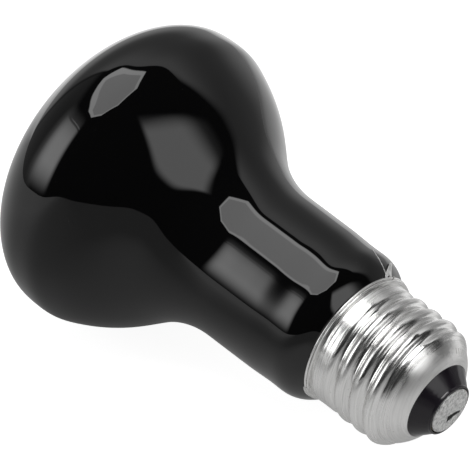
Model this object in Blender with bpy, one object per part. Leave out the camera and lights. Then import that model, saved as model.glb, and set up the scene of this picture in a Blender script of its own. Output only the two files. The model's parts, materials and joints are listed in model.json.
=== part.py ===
"""A reptile heat lamp: a blown black glass reflector bulb on an Edison screw cap.

The lamp is modelled upright on its own axis, in metres: the face of the centre
contact is at height zero and the dome is at the top. An empty then lays it on its
side, where it rests on the bowl of the glass and on the last turn of the thread.
"""

import math

import bmesh
import bpy
from mathutils import Matrix, Vector

MM = 0.001

# Pieces that touch keep this gap, and cutters run this far past what they cut
GAP = 0.3 * MM
OVERRUN = 1.0 * MM
WELD = 0.001 * MM

# Facets
SEGMENTS = 48
FINE_SEGMENTS = 32
COARSE_SEGMENTS = 24
ARC_STEPS = 5
DOME_STEPS = 9
THREAD_STEPS_PER_TURN = 6

# Glass bulb, outside
LAMP_LENGTH = 100.0 * MM
HEAD_RADIUS = 31.5 * MM
DOME_HEIGHT = 17.4 * MM
BELT_HEIGHT = 2.6 * MM
KNEE_RADIUS = 6.0 * MM
BOWL_RADIUS = 38.0 * MM
BOWL_TOP_ANGLE = math.radians(19.0)
BOWL_FOOT_ANGLE = math.radians(40.4)
NECK_FILLET_RADIUS = 20.5 * MM
NECK_TOP_RADIUS = 16.08 * MM
NECK_FOOT_RADIUS = 15.8 * MM
NECK_BEND_RADIUS = 9.0 * MM
NECK_BEND_ANGLE = math.radians(30.0)

# Glass bulb, the end that the cap hides
TUCK_ANGLE = math.radians(50.0)
SEAL_RADIUS = 9.9 * MM
SEAL_LIP_RADIUS = 1.1 * MM
FLARE_DEPTH = 5.0 * MM
FLARE_FLOOR_RADIUS = 4.6 * MM
EXHAUST_RADIUS = 2.3 * MM
EXHAUST_LENGTH = 8.4 * MM
EXHAUST_CLEARANCE = 1.75 * MM

# Screw shell, drawn and rolled from thin sheet
CAP_HEIGHT = 24.0 * MM
SHELL_WALL = 0.3 * MM
RIM_RADIUS = 13.9 * MM
RIM_BEAD_HEIGHT = 0.6 * MM
RIM_BEAD_PROUD = 0.25 * MM
FLARE_START_DEPTH = 1.7 * MM
FLARE_START_RADIUS = 12.95 * MM
SKIRT_DEPTH = 2.6 * MM
SKIRT_RADIUS = 12.75 * MM
SKIRT_BLEND = 2.0 * MM
SHOULDER_TOP = 7.8 * MM
SHOULDER_BULGE = 0.5 * MM
SHELL_HOLE_RADIUS = 7.85 * MM

# Rolled thread, right-handed, its section two equal arcs that meet
THREAD_PITCH = 3.629 * MM
THREAD_ROOT_RADIUS = 12.1 * MM
THREAD_DEPTH = 1.05 * MM
THREAD_CREST_HEIGHT = 13.75 * MM
THREAD_START = 5.9 * MM
THREAD_START_FADE = 3.3 * MM
THREAD_END_FADE = 2.2 * MM

# Insulator, pressed from black glass
INSULATOR_HEIGHT = 3.55 * MM
INSULATOR_FACE_HEIGHT = 0.3 * MM
INSULATOR_FACE_RADIUS = 5.5 * MM
INSULATOR_FLANGE_RADIUS = 10.2 * MM
INSULATOR_FLANGE_EDGE = 0.8 * MM

# Centre contact: a brass eyelet under a flat drop of solder
EYELET_RADIUS = 4.7 * MM
EYELET_SHEET = 0.3 * MM
EYELET_BORE_RADIUS = 0.8 * MM
EYELET_TUBE_LENGTH = 2.2 * MM
SOLDER_RADIUS = 4.6 * MM
SOLDER_THICKNESS = 0.55 * MM
SOLDER_EDGE_RADIUS = 0.4 * MM
SOLDER_PLUG_LENGTH = 0.9 * MM

# Cement between the neck and the shell
CEMENT_TOP_DEPTH = 4.0 * MM
CEMENT_HEIGHT = 7.4 * MM

# Lead wires, and the solder that holds the side lead on the rim
LEAD_RADIUS = 0.15 * MM
LEAD_CIRCLE_RADIUS = 3.45 * MM
LEAD_DROP = 0.9 * MM
LEAD_OVERHANG = 0.4 * MM
RIM_JOINT_ANGLE = math.radians(24.0)
NOTCH_DEPTH = 1.5 * MM
RIM_SOLDER_WIDTH = 2.2 * MM
RIM_SOLDER_THICKNESS = 0.6 * MM
RIM_SOLDER_HEIGHT = 2.9 * MM

# Outline of the drawn-out drop on the rim, as shares of its height and half width
RIM_SOLDER_SHARES = ((0.0, 0.0), (0.0, 1.0), (0.16, 0.72), (0.45, 0.42), (0.8, 0.17), (1.0, 0.0))


def ramp(value, start, length):
    """Rise smoothly from 0 at start to 1 a length further on."""
    share = min(1.0, max(0.0, (value - start) / length))
    return share * share * (3.0 - 2.0 * share)


def arc(centre, radius, start, end, steps=ARC_STEPS):
    """Outline points round a centre; the angle is zero on the side away from the axis."""
    points = []
    for index in range(steps + 1):
        angle = start + (end - start) * index / steps
        points.append((centre[0] + radius * math.cos(angle), centre[1] + radius * math.sin(angle)))
    return points


def thread_lift(height, angle):
    """Height of the rolled thread above its root, where the wall is turned by an angle."""
    half_pitch = THREAD_PITCH / 2.0
    arc_radius = (half_pitch ** 2 + THREAD_DEPTH ** 2) / (4.0 * THREAD_DEPTH)
    turns = (height - THREAD_CREST_HEIGHT) / THREAD_PITCH - angle / math.tau
    along = abs(turns - round(turns)) * THREAD_PITCH
    if along < half_pitch / 2.0:
        lift = THREAD_DEPTH - arc_radius + math.sqrt(arc_radius ** 2 - along ** 2)
    else:
        lift = arc_radius - math.sqrt(arc_radius ** 2 - (half_pitch - along) ** 2)
    thread_end = CAP_HEIGHT - SKIRT_DEPTH - THREAD_END_FADE
    lift *= ramp(height, THREAD_START, THREAD_START_FADE)
    return lift * (1.0 - ramp(height, thread_end, THREAD_END_FADE))


def roll_thread(bm, plain_radius):
    """Push a turned wall out along the thread, where it lies outside a plain radius."""
    for vert in bm.verts:
        radius = math.hypot(vert.co.x, vert.co.y)
        if radius > plain_radius + WELD:
            lift = thread_lift(vert.co.z, math.atan2(vert.co.y, vert.co.x))
            vert.co.x *= (radius + lift) / radius
            vert.co.y *= (radius + lift) / radius


def turned(outline, segments, closed):
    """Turn an outline of (radius, height) points about the axis, with a flat facet below."""
    bm = bmesh.new()
    first = -math.pi / segments
    verts = []
    for radius, height in outline:
        verts.append(bm.verts.new((radius * math.cos(first), radius * math.sin(first), height)))
    pairs = list(zip(verts, verts[1:]))
    if closed:
        pairs.append((verts[-1], verts[0]))
    edges = [bm.edges.new(pair) for pair in pairs]
    around = {"axis": (0, 0, 1), "cent": (0, 0, 0), "angle": math.tau}
    bmesh.ops.spin(bm, geom=verts + edges, steps=segments, **around)
    bmesh.ops.remove_doubles(bm, verts=bm.verts, dist=WELD)
    bmesh.ops.recalc_face_normals(bm, faces=bm.faces)
    return bm


def material(name, colour, roughness, metallic=0.0):
    made = bpy.data.materials.new(name)
    made.use_nodes = True
    shader = made.node_tree.nodes["Principled BSDF"]
    shader.inputs["Base Color"].default_value = (*colour, 1.0)
    shader.inputs["Roughness"].default_value = roughness
    shader.inputs["Metallic"].default_value = metallic
    return made


def piece(name, bm, finish, parent):
    """Make a named object from a bmesh, smooth across its round sides."""
    mesh = bpy.data.meshes.new(name)
    bm.to_mesh(mesh)
    bm.free()
    mesh.materials.append(finish)
    mesh.shade_smooth()
    mesh.set_sharp_from_angle(angle=math.radians(35.0))
    made = bpy.data.objects.new(name, mesh)
    bpy.context.scene.collection.objects.link(made)
    made.parent = parent
    return made


def wire(name, points, finish, parent):
    """A lead wire along points of (radius, height) in the plane of the joint on the rim."""
    curve = bpy.data.curves.new(name, "CURVE")
    curve.dimensions = "3D"
    curve.bevel_depth = LEAD_RADIUS
    curve.bevel_resolution = 2
    curve.use_fill_caps = True
    spline = curve.splines.new("POLY")
    spline.points.add(len(points) - 1)
    for point, (radius, height) in zip(spline.points, points):
        point.co = (radius, 0.0, height, 1.0)
    curve.materials.append(finish)
    made = bpy.data.objects.new(name, curve)
    bpy.context.scene.collection.objects.link(made)
    made.rotation_euler.z = RIM_JOINT_ANGLE
    made.parent = parent
    return made


def cut(target, name, inner, outer, low, high, width):
    """Cut a straight-sided channel through a wall, in the plane of the joint on the rim."""
    bm = bmesh.new()
    bmesh.ops.create_cube(bm, size=1.0)
    bmesh.ops.scale(bm, vec=(outer - inner, width, high - low), verts=bm.verts)
    bmesh.ops.translate(bm, vec=((inner + outer) / 2.0, 0.0, (low + high) / 2.0), verts=bm.verts)
    mesh = bpy.data.meshes.new(name)
    bm.to_mesh(mesh)
    bm.free()
    cutter = bpy.data.objects.new(name, mesh)
    bpy.context.scene.collection.objects.link(cutter)
    cutter.rotation_euler.z = RIM_JOINT_ANGLE
    cutter.parent = target.parent
    cutter.hide_render = True
    cutter.display_type = "WIRE"
    boolean = target.modifiers.new(name, "BOOLEAN")
    boolean.operation = "DIFFERENCE"
    boolean.solver = "EXACT"
    boolean.object = cutter


def neck_at_rim():
    """Radius of the glass where it leaves the cap."""
    return RIM_RADIUS - RIM_BEAD_PROUD - SHELL_WALL - GAP


def tuck_height():
    """Height at which the neck, drawn in under the rim, reaches the seal's radius."""
    return CAP_HEIGHT - (neck_at_rim() - SEAL_RADIUS) / math.tan(TUCK_ANGLE)


def seal_height():
    """Height of the fused lip; the exhaust tip inside it clears the insulator."""
    return insulator_top() + EXHAUST_CLEARANCE + EXHAUST_LENGTH - FLARE_DEPTH


def seal_end_outline():
    """The sealed end of the neck: exhaust tip, flare and fused lip."""
    seal = seal_height()
    floor = seal + FLARE_DEPTH
    tip = floor - EXHAUST_LENGTH
    points = arc((0.0, tip + EXHAUST_RADIUS), EXHAUST_RADIUS, -math.pi / 2.0, 0.0, 3)
    points.append((EXHAUST_RADIUS, floor))
    points.append((FLARE_FLOOR_RADIUS, floor))
    lip = (SEAL_RADIUS - SEAL_LIP_RADIUS, seal + SEAL_LIP_RADIUS)
    points += arc(lip, SEAL_LIP_RADIUS, -math.pi, 0.0, 4)
    points.append((SEAL_RADIUS, tuck_height()))
    return points


def neck_outline():
    """From the rim of the cap to the top of the bend above it."""
    bend_start = NECK_FOOT_RADIUS - NECK_BEND_RADIUS * (1.0 - math.cos(NECK_BEND_ANGLE))
    start_height = CAP_HEIGHT + (bend_start - neck_at_rim()) / math.tan(NECK_BEND_ANGLE)
    centre_height = start_height + NECK_BEND_RADIUS * math.sin(NECK_BEND_ANGLE)
    centre = (NECK_FOOT_RADIUS - NECK_BEND_RADIUS, centre_height)
    return [(neck_at_rim(), CAP_HEIGHT)] + arc(centre, NECK_BEND_RADIUS, -NECK_BEND_ANGLE, 0.0, 4)


def head_outline():
    """From the foot of the fillet over the bowl, the knee and the belt to the dome's middle."""
    dome_foot = LAMP_LENGTH - DOME_HEIGHT
    knee = (HEAD_RADIUS - KNEE_RADIUS, dome_foot - BELT_HEIGHT)
    knee_foot = arc(knee, KNEE_RADIUS, -BOWL_TOP_ANGLE, 0.0, 1)[0]
    bowl = (
        knee_foot[0] - BOWL_RADIUS * math.cos(BOWL_TOP_ANGLE),
        knee_foot[1] + BOWL_RADIUS * math.sin(BOWL_TOP_ANGLE),
    )
    bowl_foot = arc(bowl, BOWL_RADIUS, -BOWL_FOOT_ANGLE, 0.0, 1)[0]
    fillet_rise = NECK_FILLET_RADIUS * (1.0 - math.cos(BOWL_FOOT_ANGLE))
    cone_height = (bowl_foot[0] - NECK_TOP_RADIUS - fillet_rise) / math.tan(BOWL_FOOT_ANGLE)
    fillet_foot = bowl_foot[1] - cone_height - NECK_FILLET_RADIUS * math.sin(BOWL_FOOT_ANGLE)
    fillet = (NECK_TOP_RADIUS + NECK_FILLET_RADIUS, fillet_foot)
    points = arc(fillet, NECK_FILLET_RADIUS, math.pi, math.pi - BOWL_FOOT_ANGLE, 6)
    points += arc(bowl, BOWL_RADIUS, -BOWL_FOOT_ANGLE, -BOWL_TOP_ANGLE)
    points += arc(knee, KNEE_RADIUS, -BOWL_TOP_ANGLE, 0.0, 4)[1:]
    for index in range(DOME_STEPS + 1):
        angle = math.pi / 2.0 * index / DOME_STEPS
        radius = HEAD_RADIUS * math.cos(angle)
        points.append((radius, dome_foot + DOME_HEIGHT * math.sin(angle)))
    return points


def glass_bulb(finish, parent):
    """The blown bulb, fused shut and opaque, as one body."""
    outline = seal_end_outline() + neck_outline() + head_outline()
    return piece("glass_bulb", turned(outline, SEGMENTS, False), finish, parent)


def shoulder_arc(inset, start_radius, end_radius, steps=ARC_STEPS):
    """The shell's shoulder between two radii, set in from its outer face."""
    chord = Vector((THREAD_ROOT_RADIUS - SHELL_HOLE_RADIUS, SHOULDER_TOP - INSULATOR_HEIGHT))
    radius = ((chord.length / 2.0) ** 2 + SHOULDER_BULGE ** 2) / (2.0 * SHOULDER_BULGE)
    inward = Vector((-chord.y, chord.x)).normalized() * (radius - SHOULDER_BULGE)
    centre = Vector((SHELL_HOLE_RADIUS, INSULATOR_HEIGHT)) + chord / 2.0 + inward
    start = -math.acos((start_radius - centre.x) / (radius - inset))
    end = -math.acos((end_radius - centre.x) / (radius - inset))
    return arc(centre, radius - inset, start, end, steps)


def threaded_wall(inset, low, high):
    """The wall under the thread between two heights, at its root."""
    steps = max(2, round((high - low) / THREAD_PITCH * THREAD_STEPS_PER_TURN))
    points = []
    for index in range(1, steps + 1):
        height = low + (high - low) * index / steps
        skirt_share = ramp(height, CAP_HEIGHT - SKIRT_DEPTH - SKIRT_BLEND, SKIRT_BLEND)
        radius = THREAD_ROOT_RADIUS + (SKIRT_RADIUS - THREAD_ROOT_RADIUS) * skirt_share
        points.append((radius - inset, height))
    return points


def shell_face(inset):
    """One face of the shell, from the hole for the insulator to the neck of the rim."""
    points = shoulder_arc(inset, SHELL_HOLE_RADIUS, THREAD_ROOT_RADIUS - inset)
    points += threaded_wall(inset, SHOULDER_TOP, CAP_HEIGHT - SKIRT_DEPTH)
    flare_foot = CAP_HEIGHT - FLARE_START_DEPTH
    flare_height = FLARE_START_DEPTH - RIM_BEAD_HEIGHT
    flare_rise = RIM_RADIUS - RIM_BEAD_PROUD - FLARE_START_RADIUS
    for index in range(4):
        angle = math.pi / 2.0 * index / 3
        height = flare_foot + flare_height * math.sin(angle)
        points.append((FLARE_START_RADIUS + flare_rise * (1.0 - math.cos(angle)) - inset, height))
    return points


def screw_shell(finish, parent):
    """The thin shell with its rolled thread, shoulder, flared skirt and beaded rim."""
    bead_radius = RIM_BEAD_HEIGHT / 2.0
    outline = shell_face(0.0)
    for index in range(5):
        angle = math.pi * index / 4 - math.pi / 2.0
        radius = RIM_RADIUS - RIM_BEAD_PROUD * (1.0 - math.cos(angle))
        outline.append((radius, CAP_HEIGHT - bead_radius + bead_radius * math.sin(angle)))
    outline.append((RIM_RADIUS - RIM_BEAD_PROUD - SHELL_WALL, CAP_HEIGHT))
    outline += reversed(shell_face(SHELL_WALL))
    bm = turned(outline, SEGMENTS, True)
    roll_thread(bm, SHELL_HOLE_RADIUS)
    shell = piece("screw_shell", bm, finish, parent)
    width = 2.0 * (LEAD_RADIUS + GAP)
    walls = (neck_at_rim() - OVERRUN, RIM_RADIUS + OVERRUN)
    cut(shell, "lead_notch_cutter", *walls, CAP_HEIGHT - NOTCH_DEPTH, CAP_HEIGHT + OVERRUN, width)
    return shell


def insulator_flange():
    """Outline of the insulator's flange, inside the shell's shoulder."""
    return shoulder_arc(SHELL_WALL + GAP, SHELL_HOLE_RADIUS - GAP, INSULATOR_FLANGE_RADIUS, 3)


def insulator_top():
    return insulator_flange()[-1][1] + INSULATOR_FLANGE_EDGE


def recess_floor():
    """Height of the insulator's recess, above the solder and the eyelet that it holds."""
    return SOLDER_THICKNESS + EYELET_SHEET + 2.0 * GAP


def insulator(finish, parent):
    """The pressed glass insulator, its flange lying inside the shell's shoulder."""
    bore = EYELET_BORE_RADIUS + EYELET_SHEET + GAP
    recess = EYELET_RADIUS + GAP
    outline = [(recess, INSULATOR_FACE_HEIGHT), (INSULATOR_FACE_RADIUS, INSULATOR_FACE_HEIGHT)]
    outline.append((SHELL_HOLE_RADIUS - GAP, INSULATOR_HEIGHT))
    outline += insulator_flange()
    outline += [(INSULATOR_FLANGE_RADIUS, insulator_top()), (bore, insulator_top())]
    outline += [(bore, recess_floor()), (recess, recess_floor())]
    return piece("insulator", turned(outline, FINE_SEGMENTS, True), finish, parent)


def contact_eyelet(finish, parent):
    """A brass disc with a short tube that holds it in the insulator."""
    face = SOLDER_THICKNESS + GAP
    back = face + EYELET_SHEET
    tube_radius = EYELET_BORE_RADIUS + EYELET_SHEET
    tube_top = recess_floor() + EYELET_TUBE_LENGTH
    outline = [(EYELET_BORE_RADIUS, face), (EYELET_RADIUS, face), (EYELET_RADIUS, back)]
    outline += [(tube_radius, back), (tube_radius, tube_top), (EYELET_BORE_RADIUS, tube_top)]
    return piece("contact_eyelet", turned(outline, COARSE_SEGMENTS, True), finish, parent)


def plug_top():
    """Height to which the solder runs up the eyelet."""
    return SOLDER_THICKNESS + SOLDER_PLUG_LENGTH


def contact_solder(finish, parent):
    """The drop of solder on the centre contact, pressed flat, with its plug in the eyelet."""
    edge = (SOLDER_RADIUS - SOLDER_EDGE_RADIUS, SOLDER_EDGE_RADIUS)
    plug = EYELET_BORE_RADIUS - GAP
    outline = [(0.0, 0.0)] + arc(edge, SOLDER_EDGE_RADIUS, -math.pi / 2.0, 0.0, 4)
    outline += [(SOLDER_RADIUS, SOLDER_THICKNESS), (plug, SOLDER_THICKNESS)]
    outline += [(plug, plug_top()), (0.0, plug_top())]
    return piece("contact_solder", turned(outline, FINE_SEGMENTS, False), finish, parent)


def channel_radius():
    """Distance from the axis of the side lead's channel, midway through the cement."""
    return (SEAL_RADIUS + THREAD_ROOT_RADIUS - SHELL_WALL) / 2.0


def basing_cement(finish, parent):
    """The ring of cement that grips the neck, cast into the back of the thread."""
    inner = SEAL_RADIUS + GAP
    top = CAP_HEIGHT - CEMENT_TOP_DEPTH
    low = top - CEMENT_HEIGHT
    inset = SHELL_WALL + GAP
    outline = [(inner, top), (inner, low), (THREAD_ROOT_RADIUS - inset, low)]
    outline += threaded_wall(inset, low, top)
    bm = turned(outline, SEGMENTS, True)
    roll_thread(bm, inner)
    cement = piece("basing_cement", bm, finish, parent)
    half_width = LEAD_RADIUS + GAP
    centre = channel_radius()
    span = (low - OVERRUN, top + OVERRUN)
    cut(cement, "lead_channel_cutter", inner - OVERRUN, centre + half_width, *span, 2.0 * half_width)
    return cement


def centre_lead(finish, parent):
    """From the flare past the exhaust tip, in to the axis and down to the eyelet's solder."""
    start = seal_height() + FLARE_DEPTH - GAP
    turn = insulator_top() + EXHAUST_CLEARANCE - LEAD_RADIUS
    route = [(-LEAD_CIRCLE_RADIUS, start), (-LEAD_CIRCLE_RADIUS, turn)]
    route += [(0.0, insulator_top() + GAP), (0.0, plug_top() + GAP)]
    return wire("centre_lead", route, finish, parent)


def side_lead(finish, parent):
    """From the flare round the fused lip, up through the cement and out over the rim."""
    seal = seal_height()
    notch_middle = CAP_HEIGHT - NOTCH_DEPTH / 2.0
    neck_radius = neck_at_rim() - (CAP_HEIGHT - notch_middle) * math.tan(TUCK_ANGLE)
    clear_of_neck = neck_radius + (GAP + LEAD_RADIUS) / math.cos(TUCK_ANGLE)
    route = [(LEAD_CIRCLE_RADIUS, seal + FLARE_DEPTH - GAP), (LEAD_CIRCLE_RADIUS, seal - LEAD_DROP)]
    route += [(channel_radius(), seal - LEAD_DROP), (channel_radius(), tuck_height())]
    route += [(clear_of_neck, notch_middle), (RIM_RADIUS + LEAD_OVERHANG, notch_middle)]
    return wire("side_lead", route, finish, parent)


def side_solder(finish, parent):
    """The drop of solder on the rim, drawn out to a point along the glass."""
    base = CAP_HEIGHT + GAP
    clearance = GAP / math.cos(NECK_BEND_ANGLE)
    lean = math.tan(NECK_BEND_ANGLE)
    outline = []
    for height_share, width_share in RIM_SOLDER_SHARES:
        outline.append((width_share * RIM_SOLDER_WIDTH / 2.0, base + height_share * RIM_SOLDER_HEIGHT))
    bm = turned(outline, COARSE_SEGMENTS // 2, False)
    for vert in bm.verts:
        glass = neck_at_rim() + (vert.co.z - CAP_HEIGHT) * lean
        depth = vert.co.x * RIM_SOLDER_THICKNESS / RIM_SOLDER_WIDTH
        vert.co.x = glass + clearance + RIM_SOLDER_THICKNESS / 2.0 + depth
    bmesh.ops.rotate(bm, verts=bm.verts, cent=(0, 0, 0), matrix=Matrix.Rotation(RIM_JOINT_ANGLE, 3, "Z"))
    return piece("side_solder", bm, finish, parent)


def corners_of(made):
    """Corners of a finished piece in the lamp's own frame."""
    shape = made.evaluated_get(bpy.context.evaluated_depsgraph_get())
    mesh = shape.to_mesh()
    corners = [vert.co.copy() for vert in mesh.vertices]
    shape.to_mesh_clear()
    return corners


def lowest(corners, tilt):
    """Height of the lowest corner under the axis, with the dome raised by a tilt."""
    return min(corner.x * math.cos(tilt) + corner.z * math.sin(tilt) for corner in corners)


def resting_tilt(head, cap):
    """The tilt at which the head and the cap touch the floor together."""
    low, high = 0.0, math.pi / 4.0
    for _ in range(50):
        middle = (low + high) / 2.0
        if lowest(head, middle) < lowest(cap, middle):
            low = middle
        else:
            high = middle
    return (low + high) / 2.0


def lay_on_side(stand, bulb, shell, others):
    """Turn and lift the empty so that the lamp lies on its bowl and its thread."""
    head = corners_of(bulb)
    cap = corners_of(shell)
    tilt = resting_tilt(head, cap)
    corners = head + cap
    for other in others:
        corners += corners_of(other)
    across = [corner.x * math.sin(tilt) - corner.z * math.cos(tilt) for corner in corners]
    stand.rotation_euler.y = tilt - math.pi / 2.0
    stand.location.x = -(min(across) + max(across)) / 2.0
    stand.location.z = -lowest(corners, tilt)


def build():
    for old in list(bpy.data.objects):
        bpy.data.objects.remove(old, do_unlink=True)
    black_glass = material("black_glass", (0.006, 0.006, 0.007), 0.04)
    aluminium = material("aluminium", (0.72, 0.71, 0.69), 0.22, 1.0)
    insulator_glass = material("insulator_glass", (0.012, 0.010, 0.014), 0.12)
    brass = material("brass", (0.62, 0.48, 0.24), 0.3, 1.0)
    solder = material("solder", (0.55, 0.55, 0.54), 0.42, 1.0)
    cement = material("cement", (0.62, 0.58, 0.50), 0.9)
    copper = material("tinned_copper", (0.66, 0.62, 0.58), 0.3, 1.0)
    stand = bpy.data.objects.new("lamp_axis", None)
    bpy.context.scene.collection.objects.link(stand)
    bulb = glass_bulb(black_glass, stand)
    shell = screw_shell(aluminium, stand)
    base = insulator(insulator_glass, stand)
    contact_eyelet(brass, stand)
    contact = contact_solder(solder, stand)
    basing_cement(cement, stand)
    centre_lead(copper, stand)
    side_lead(copper, stand)
    side_solder(solder, stand)
    lay_on_side(stand, bulb, shell, [base, contact])


build()
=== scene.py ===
import json
import math

import bpy
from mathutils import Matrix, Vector, noise


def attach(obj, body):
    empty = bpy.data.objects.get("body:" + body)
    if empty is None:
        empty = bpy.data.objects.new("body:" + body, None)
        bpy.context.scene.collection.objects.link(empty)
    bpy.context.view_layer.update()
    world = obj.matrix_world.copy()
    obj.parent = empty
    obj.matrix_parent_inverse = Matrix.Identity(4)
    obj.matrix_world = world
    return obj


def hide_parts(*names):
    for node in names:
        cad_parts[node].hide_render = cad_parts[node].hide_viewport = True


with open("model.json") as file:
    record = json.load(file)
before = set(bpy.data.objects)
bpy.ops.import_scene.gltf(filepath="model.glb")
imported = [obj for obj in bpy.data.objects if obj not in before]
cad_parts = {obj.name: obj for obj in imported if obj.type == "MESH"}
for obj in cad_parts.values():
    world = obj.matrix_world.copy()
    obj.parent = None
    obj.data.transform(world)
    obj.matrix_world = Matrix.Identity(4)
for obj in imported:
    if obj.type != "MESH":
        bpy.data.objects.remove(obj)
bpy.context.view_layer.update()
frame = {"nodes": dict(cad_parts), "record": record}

mm = 0.001
weldGap = 0.0005 * mm  # corners nearer to each other than this are one
print("frame loaded:", ", ".join(sorted(frame["nodes"])))

# where the lamp lies: every new piece is made upright on the origin, in
# millimetres up from the face of the centre contact, and then laid down here
contactMount = frame["record"]["mounts"][0]
contactPlace = Vector(contactMount["pos_m"])
outward = Vector(contactMount["axis"])
lampTurn = math.atan2(-outward.x, -outward.z)


def selectOnly(obj):
    bpy.ops.object.select_all(action="DESELECT")
    obj.select_set(True)
    bpy.context.view_layer.objects.active = obj


def startPiece(name):
    # a plane merged to its middle is one loose corner to draw from
    bpy.ops.object.select_all(action="DESELECT")
    bpy.ops.mesh.primitive_plane_add(size=mm, location=(0, 0, 0))
    obj = bpy.context.object
    obj.name = name
    obj.data.name = name
    bpy.ops.object.mode_set(mode="EDIT")
    bpy.ops.mesh.select_all(action="SELECT")
    bpy.ops.mesh.merge(type="CENTER")
    return obj


def drawLine(points):
    # move the loose corner to the first point and extrude it from point to point
    bpy.ops.transform.translate(value=[number * mm for number in points[0]])
    for here, there in zip(points, points[1:]):
        step = [(end - start) * mm for start, end in zip(here, there)]
        bpy.ops.mesh.extrude_vertices_move(TRANSFORM_OT_translate={"value": step})
    bpy.ops.mesh.select_all(action="SELECT")


def turnOutline(name, outline, steps, closed=False):
    # draw the outline beside the lamp's axis and spin it round. A closed one comes back to
    # its first corner, and the two ends are merged there
    obj = startPiece(name)
    if closed:
        outline = outline + outline[:1]
    drawLine([(radius, 0.0, height) for radius, height in outline])
    bpy.ops.mesh.spin(steps=steps, angle=math.tau, center=(0, 0, 0), axis=(0, 0, 1))
    bpy.ops.mesh.select_all(action="SELECT")
    bpy.ops.mesh.remove_doubles(threshold=weldGap)
    bpy.ops.mesh.normals_make_consistent(inside=False)
    bpy.ops.object.mode_set(mode="OBJECT")
    return obj


def finishPiece(obj, node, material, sharpAngle):
    # smooth it, lay it down with the lamp and let it stand for its CAD node
    selectOnly(obj)
    bpy.ops.object.shade_smooth_by_angle(angle=math.radians(sharpAngle))
    obj.rotation_euler = (0, lampTurn, 0)
    obj.location = contactPlace
    bpy.ops.object.transform_apply(location=True, rotation=True, scale=True)
    obj.data.materials.clear()
    obj.data.materials.append(material)
    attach(obj, "root")
    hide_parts(node)
    print(obj.name, "made,", len(obj.data.vertices), "corners")


def arcPoints(centre, radius, start, end, count):
    # degrees, zero on the side away from the axis
    points = []
    for index in range(count + 1):
        angle = math.radians(start + (end - start) * index / count)
        points.append((centre[0] + radius * math.cos(angle), centre[1] + radius * math.sin(angle)))
    return points


def smoothRise(value, start, length):
    share = min(1.0, max(0.0, (value - start) / length))
    return share * share * (3.0 - 2.0 * share)


# node helpers for the procedural finishes
def newMaterial(name):
    material = bpy.data.materials.new(name)
    material.use_nodes = True
    return material, material.node_tree, material.node_tree.nodes["Principled BSDF"]


def put(tree, socket, value):
    if isinstance(value, bpy.types.NodeSocket):
        tree.links.new(value, socket)
    else:
        socket.default_value = value


def calc(tree, operation, first, second=0.0, third=0.0):
    node = tree.nodes.new("ShaderNodeMath")
    node.operation = operation
    for socket, value in zip(node.inputs, (first, second, third)):
        put(tree, socket, value)
    return node.outputs[0]


def spread(tree, value, low, high, newLow=0.0, newHigh=1.0, smooth=False):
    node = tree.nodes.new("ShaderNodeMapRange")
    node.interpolation_type = "SMOOTHSTEP" if smooth else "LINEAR"
    node.clamp = True
    ends = {"Value": value, "From Min": low, "From Max": high, "To Min": newLow, "To Max": newHigh}
    for name, number in ends.items():
        put(tree, node.inputs[name], number)
    return node.outputs["Result"]


def within(tree, value, ends, soft):
    # 1 between the two ends, with soft edges
    start = spread(tree, value, ends[0] - soft, ends[0] + soft, 0, 1)
    return calc(tree, "MULTIPLY", start, spread(tree, value, ends[1] - soft, ends[1] + soft, 1, 0))


def splitPlace(tree, position):
    split = tree.nodes.new("ShaderNodeSeparateXYZ")
    tree.links.new(position, split.inputs[0])
    return split.outputs[0], split.outputs[1], split.outputs[2]


def distanceTo(tree, position, place):
    node = tree.nodes.new("ShaderNodeVectorMath")
    node.operation = "DISTANCE"
    tree.links.new(position, node.inputs[0])
    node.inputs[1].default_value = place
    return node.outputs["Value"]


def lampPosition(tree):
    # object coordinates turned back to the upright lamp, in millimetres
    coordinates = tree.nodes.new("ShaderNodeTexCoord")
    mapping = tree.nodes.new("ShaderNodeMapping")
    mapping.vector_type = "TEXTURE"
    mapping.inputs["Location"].default_value = contactPlace
    mapping.inputs["Rotation"].default_value = (0, lampTurn, 0)
    mapping.inputs["Scale"].default_value = (mm, mm, mm)
    tree.links.new(coordinates.outputs["Object"], mapping.inputs["Vector"])
    return mapping.outputs["Vector"]


def turnedPlace(tree, position, degrees, scale):
    mapping = tree.nodes.new("ShaderNodeMapping")
    tree.links.new(position, mapping.inputs["Vector"])
    mapping.inputs["Rotation"].default_value = (0, 0, math.radians(degrees))
    mapping.inputs["Scale"].default_value = scale
    return mapping.outputs["Vector"]


def noiseAt(tree, vector, scale, detail, roughness, distortion=0.0):
    # the finishes keep each noise as these numbers, in this order
    node = tree.nodes.new("ShaderNodeTexNoise")
    put(tree, node.inputs["Vector"], vector)
    node.inputs["Scale"].default_value = scale
    node.inputs["Detail"].default_value = detail
    node.inputs["Roughness"].default_value = roughness
    node.inputs["Distortion"].default_value = distortion
    return node.outputs["Fac"]


def blendColour(tree, share, first, second):
    # the Mix node keeps its colours in sockets 6 and 7 and gives them out in 2
    node = tree.nodes.new("ShaderNodeMix")
    node.data_type = "RGBA"
    put(tree, node.inputs[0], share)
    put(tree, node.inputs[6], first)
    put(tree, node.inputs[7], second)
    return node.outputs[2]


def bumpFrom(tree, height, distance, under=None):
    node = tree.nodes.new("ShaderNodeBump")
    node.inputs["Strength"].default_value = 1.0
    node.inputs["Distance"].default_value = distance * mm
    put(tree, node.inputs["Height"], height)
    if under:
        tree.links.new(under, node.inputs["Normal"])
    return node.outputs["Normal"]


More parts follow.
